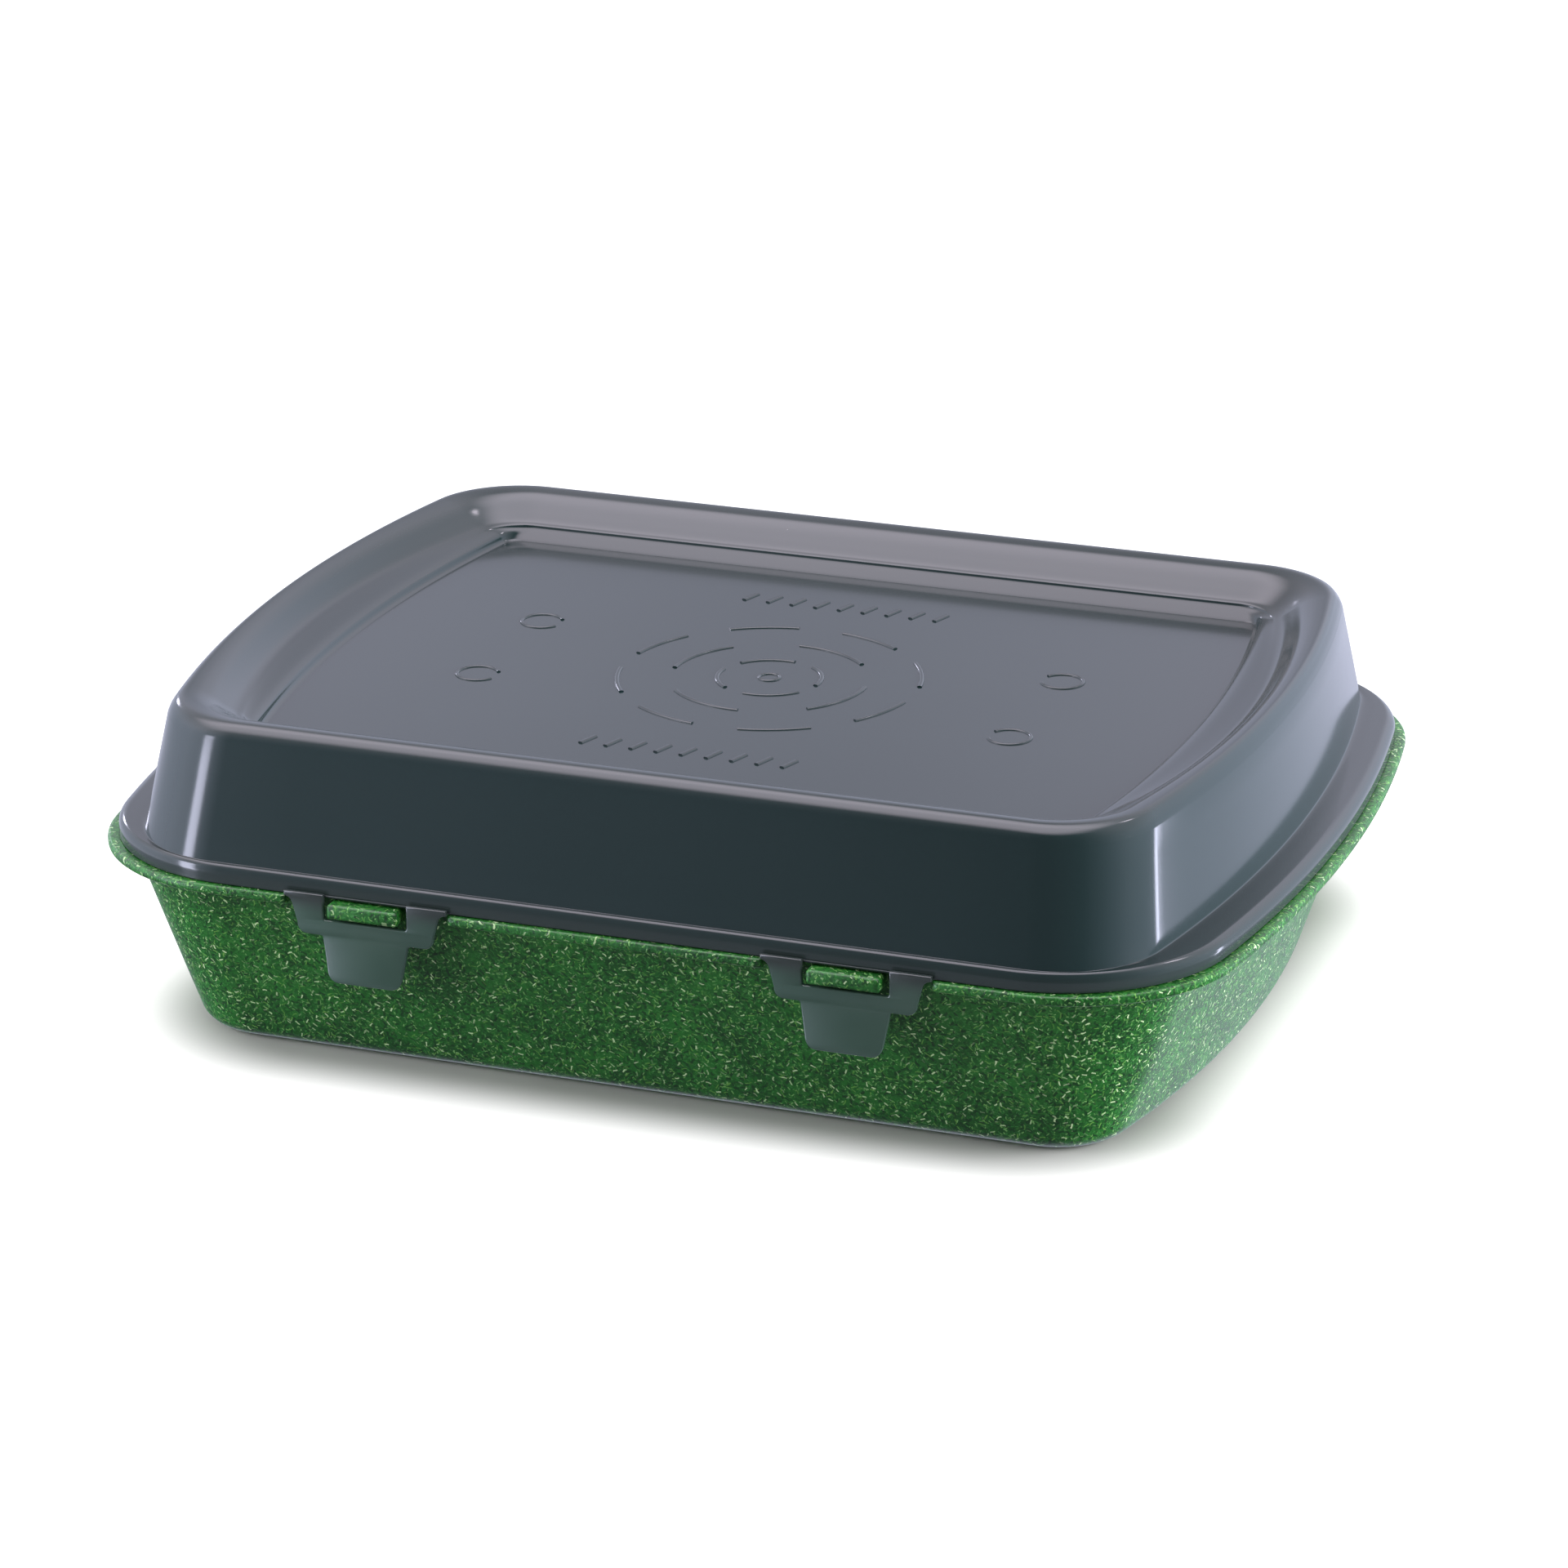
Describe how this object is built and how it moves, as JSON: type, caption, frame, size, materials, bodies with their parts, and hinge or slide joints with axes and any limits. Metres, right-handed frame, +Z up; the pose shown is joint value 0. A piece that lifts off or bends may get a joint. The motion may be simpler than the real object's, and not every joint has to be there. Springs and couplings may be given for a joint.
{
  "type": "reusable meal container",
  "caption": "Shallow rectangular reusable meal container with bowed ends: fibre-flecked green tray and smoky lid with a sunk top panel and latch flaps on the long edges.",
  "frame": {"origin": "under the middle of the tray, on the plane it stands on", "axes": "+X along the longer side, +Z up, the side shown in the picture facing -Y"},
  "size_m": [0.24, 0.1864, 0.0668],
  "materials": {
    "tray_plastic": "semi-matt, with short pale fibres",
    "lid_plastic": "satin, slightly translucent",
    "latch_plastic": "satin, translucent"
  },
  "bodies": {
    "tray_body": {"tray": "tray_plastic"},
    "lid_body": {"lid": "lid_plastic"},
    "front_left_latch_body": {"front_left_latch": "latch_plastic"},
    "front_right_latch_body": {"front_right_latch": "latch_plastic"},
    "rear_left_latch_body": {"rear_left_latch": "latch_plastic"},
    "rear_right_latch_body": {"rear_right_latch": "latch_plastic"}
  },
  "joints": [
    {"name": "lid_lift", "type": "slide", "parent": "tray_body", "child": "lid_body", "axis": [0, 0, 1], "range_m": [0, 0.1]},
    {"name": "front_left_latch_swing", "type": "hinge", "parent": "lid_body", "child": "front_left_latch_body", "pos_m": [-0.0485, -0.09115, 0.0384], "axis": [-1, 0, 0], "range_deg": [0, 80], "stiffness_Nm_per_rad": 0.005},
    {"name": "front_right_latch_swing", "type": "hinge", "parent": "lid_body", "child": "front_right_latch_body", "pos_m": [0.0485, -0.09115, 0.0384], "axis": [-1, 0, 0], "range_deg": [0, 80], "stiffness_Nm_per_rad": 0.005},
    {"name": "rear_left_latch_swing", "type": "hinge", "parent": "lid_body", "child": "rear_left_latch_body", "pos_m": [-0.0485, 0.09115, 0.0384], "axis": [1, 0, 0], "range_deg": [0, 80], "stiffness_Nm_per_rad": 0.005},
    {"name": "rear_right_latch_swing", "type": "hinge", "parent": "lid_body", "child": "rear_right_latch_body", "pos_m": [0.0485, 0.09115, 0.0384], "axis": [1, 0, 0], "range_deg": [0, 80], "stiffness_Nm_per_rad": 0.005}
  ]
}
